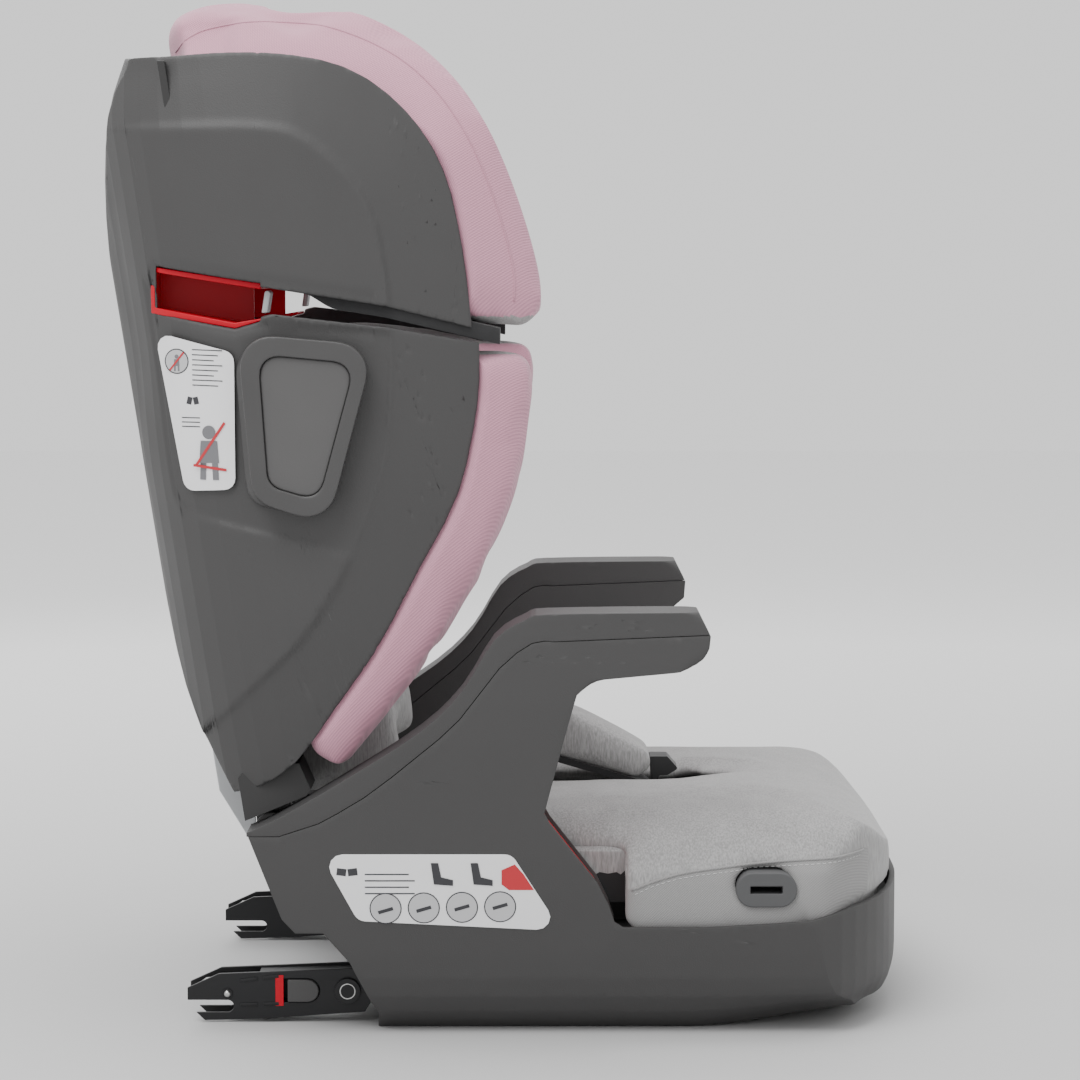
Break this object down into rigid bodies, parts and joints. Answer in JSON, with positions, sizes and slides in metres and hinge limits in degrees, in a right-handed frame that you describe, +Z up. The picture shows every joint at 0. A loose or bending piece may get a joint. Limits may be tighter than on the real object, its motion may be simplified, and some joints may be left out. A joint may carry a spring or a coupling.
{
  "type": "booster seat",
  "caption": "High-back belt-positioning booster seat with height-adjustable wings, armrests, belt guides and swinging anchor connectors.",
  "frame": {"origin": "centre of the face that the base rests on", "axes": "+Z up; the child faces -Y; +X is the child's left"},
  "size_m": [0.452, 0.5658, 0.71],
  "materials": {
    "shell_plastic": "fine-textured graphite moulded plastic",
    "dark_plastic": "dark structural plastic",
    "pod_plastic": "satin grey plastic",
    "red_plastic": "deep red glossy plastic",
    "grey_plastic": "pale grey plastic",
    "rose_fabric": "rose twill",
    "grey_fabric": "heathered pale grey weave",
    "dark_mesh": "black mesh",
    "foam": "white foam",
    "webbing": "black webbing",
    "rubber": "matt rubber",
    "black_steel": "black coated steel",
    "bare_steel": "zinc-plated steel",
    "label": "white printed film"
  },
  "bodies": {
    "base": {"base_shell": "shell_plastic", "base_deck": "dark_plastic", "armrest_liner_left": "shell_plastic", "armrest_liner_right": "shell_plastic", "armrest_cap_left": "shell_plastic", "armrest_cap_right": "shell_plastic", "lap_belt_guide_left": "red_plastic", "lap_belt_guide_right": "red_plastic", "seat_foam": "foam", "seat_cushion": "grey_fabric", "cup_grommet_left": "rubber", "cup_grommet_right": "rubber", "grip_feet": "rubber", "base_screws": "bare_steel", "recline_brackets": "dark_plastic", "recline_rod": "bare_steel", "strap_anchor": "dark_plastic", "base_labels": "label", "rear_base_cover": "grey_plastic"},
    "backrest": {"back_frame": "dark_plastic", "back_rear_panel": "grey_plastic", "height_rack": "bare_steel", "lower_back_pad": "grey_fabric", "back_board": "grey_fabric"},
    "wings": {"wing_shell_left": "shell_plastic", "wing_shell_right": "shell_plastic", "wing_rear_cover": "shell_plastic", "carriage_plate": "dark_plastic", "slide_runners": "dark_plastic", "headrest_pad": "rose_fabric", "torso_pad_left": "rose_fabric", "torso_pad_right": "rose_fabric", "centre_pad": "grey_fabric", "belt_guide_left": "red_plastic", "belt_guide_right": "red_plastic", "pod_ring_left": "pod_plastic", "pod_ring_right": "pod_plastic", "pod_face_left": "pod_plastic", "pod_face_right": "pod_plastic", "wing_labels": "label", "headrest_mesh": "dark_mesh", "handle_spring": "bare_steel"},
    "handle": {"height_handle": "dark_plastic"},
    "lock": {"lock_pin": "bare_steel"},
    "gate_left": {"belt_gate_left": "grey_plastic"},
    "gate_right": {"belt_gate_right": "grey_plastic"},
    "latch_carriage": {"latch_crossbar": "black_steel"},
    "connector_left": {"latch_arm_left": "black_steel", "latch_housing_left": "dark_plastic"},
    "connector_right": {"latch_arm_right": "black_steel", "latch_housing_right": "dark_plastic"},
    "jaw_left": {"latch_jaw_left": "bare_steel"},
    "jaw_right": {"latch_jaw_right": "bare_steel"},
    "button_left": {"release_button_left": "grey_plastic"},
    "button_right": {"release_button_right": "grey_plastic"},
    "lap_strap": {"lap_strap_pad": "grey_fabric", "strap_webbing": "webbing", "strap_clip": "dark_plastic"}
  },
  "joints": [
    {"name": "recline", "type": "hinge", "parent": "base", "child": "backrest", "pos_m": [0, 0.228, 0.128], "axis": [-1, 0, 0], "range_deg": [0, 10]},
    {"name": "height", "type": "slide", "parent": "backrest", "child": "wings", "axis": [0, 0.1564, 0.9877], "range_m": [0, 0.15]},
    {"name": "handle_squeeze", "type": "slide", "parent": "wings", "child": "handle", "axis": [0, 0.1564, 0.9877], "range_m": [0, 0.008], "stiffness_N_per_m": 900, "springref_m": -0.003, "deforming": ["handle_spring"]},
    {"name": "lock_draw", "type": "slide", "parent": "wings", "child": "lock", "axis": [0, 0.9877, -0.1564], "range_m": [0, 0.004]},
    {"name": "gate_left_swing", "type": "hinge", "parent": "wings", "child": "gate_left", "pos_m": [0, 0.222, 0.5075], "axis": [1, 0, 0], "range_deg": [0, 55], "stiffness_Nm_per_rad": 0.02, "springref_deg": -11.46},
    {"name": "gate_right_swing", "type": "hinge", "parent": "wings", "child": "gate_right", "pos_m": [0, 0.222, 0.5075], "axis": [1, 0, 0], "range_deg": [0, 55], "stiffness_Nm_per_rad": 0.02, "springref_deg": -11.46},
    {"name": "latch_slide", "type": "slide", "parent": "base", "child": "latch_carriage", "axis": [0, 1, 0], "range_m": [-0.06, 0.03]},
    {"name": "latch_swing_left", "type": "hinge", "parent": "latch_carriage", "child": "connector_left", "pos_m": [0, 0.173, 0.022], "axis": [-1, 0, 0], "range_deg": [0, 180]},
    {"name": "release_left", "type": "slide", "parent": "connector_left", "child": "button_left", "axis": [0, 1, 0], "range_m": [0, 0.006]},
    {"name": "jaw_left_turn", "type": "hinge", "parent": "connector_left", "child": "jaw_left", "pos_m": [0, 0.257, 0.023], "axis": [-1, 0, 0], "range_deg": [0, 42]},
    {"name": "latch_swing_right", "type": "hinge", "parent": "latch_carriage", "child": "connector_right", "pos_m": [0, 0.173, 0.022], "axis": [-1, 0, 0], "range_deg": [0, 180]},
    {"name": "release_right", "type": "slide", "parent": "connector_right", "child": "button_right", "axis": [0, 1, 0], "range_m": [0, 0.006]},
    {"name": "jaw_right_turn", "type": "hinge", "parent": "connector_right", "child": "jaw_right", "pos_m": [0, 0.257, 0.023], "axis": [-1, 0, 0], "range_deg": [0, 42]},
    {"name": "strap_lean", "type": "hinge", "parent": "base", "child": "lap_strap", "pos_m": [0, -0.05, 0.118], "axis": [1, 0, 0], "range_deg": [0, 45]}
  ],
  "couplings": [
    {"joint": "lock_draw", "follows": "handle_squeeze", "ratio": 0.5},
    {"joint": "jaw_left_turn", "follows": "release_left", "rad_per_m": 116.36},
    {"joint": "jaw_right_turn", "follows": "release_right", "rad_per_m": 116.36}
  ]
}
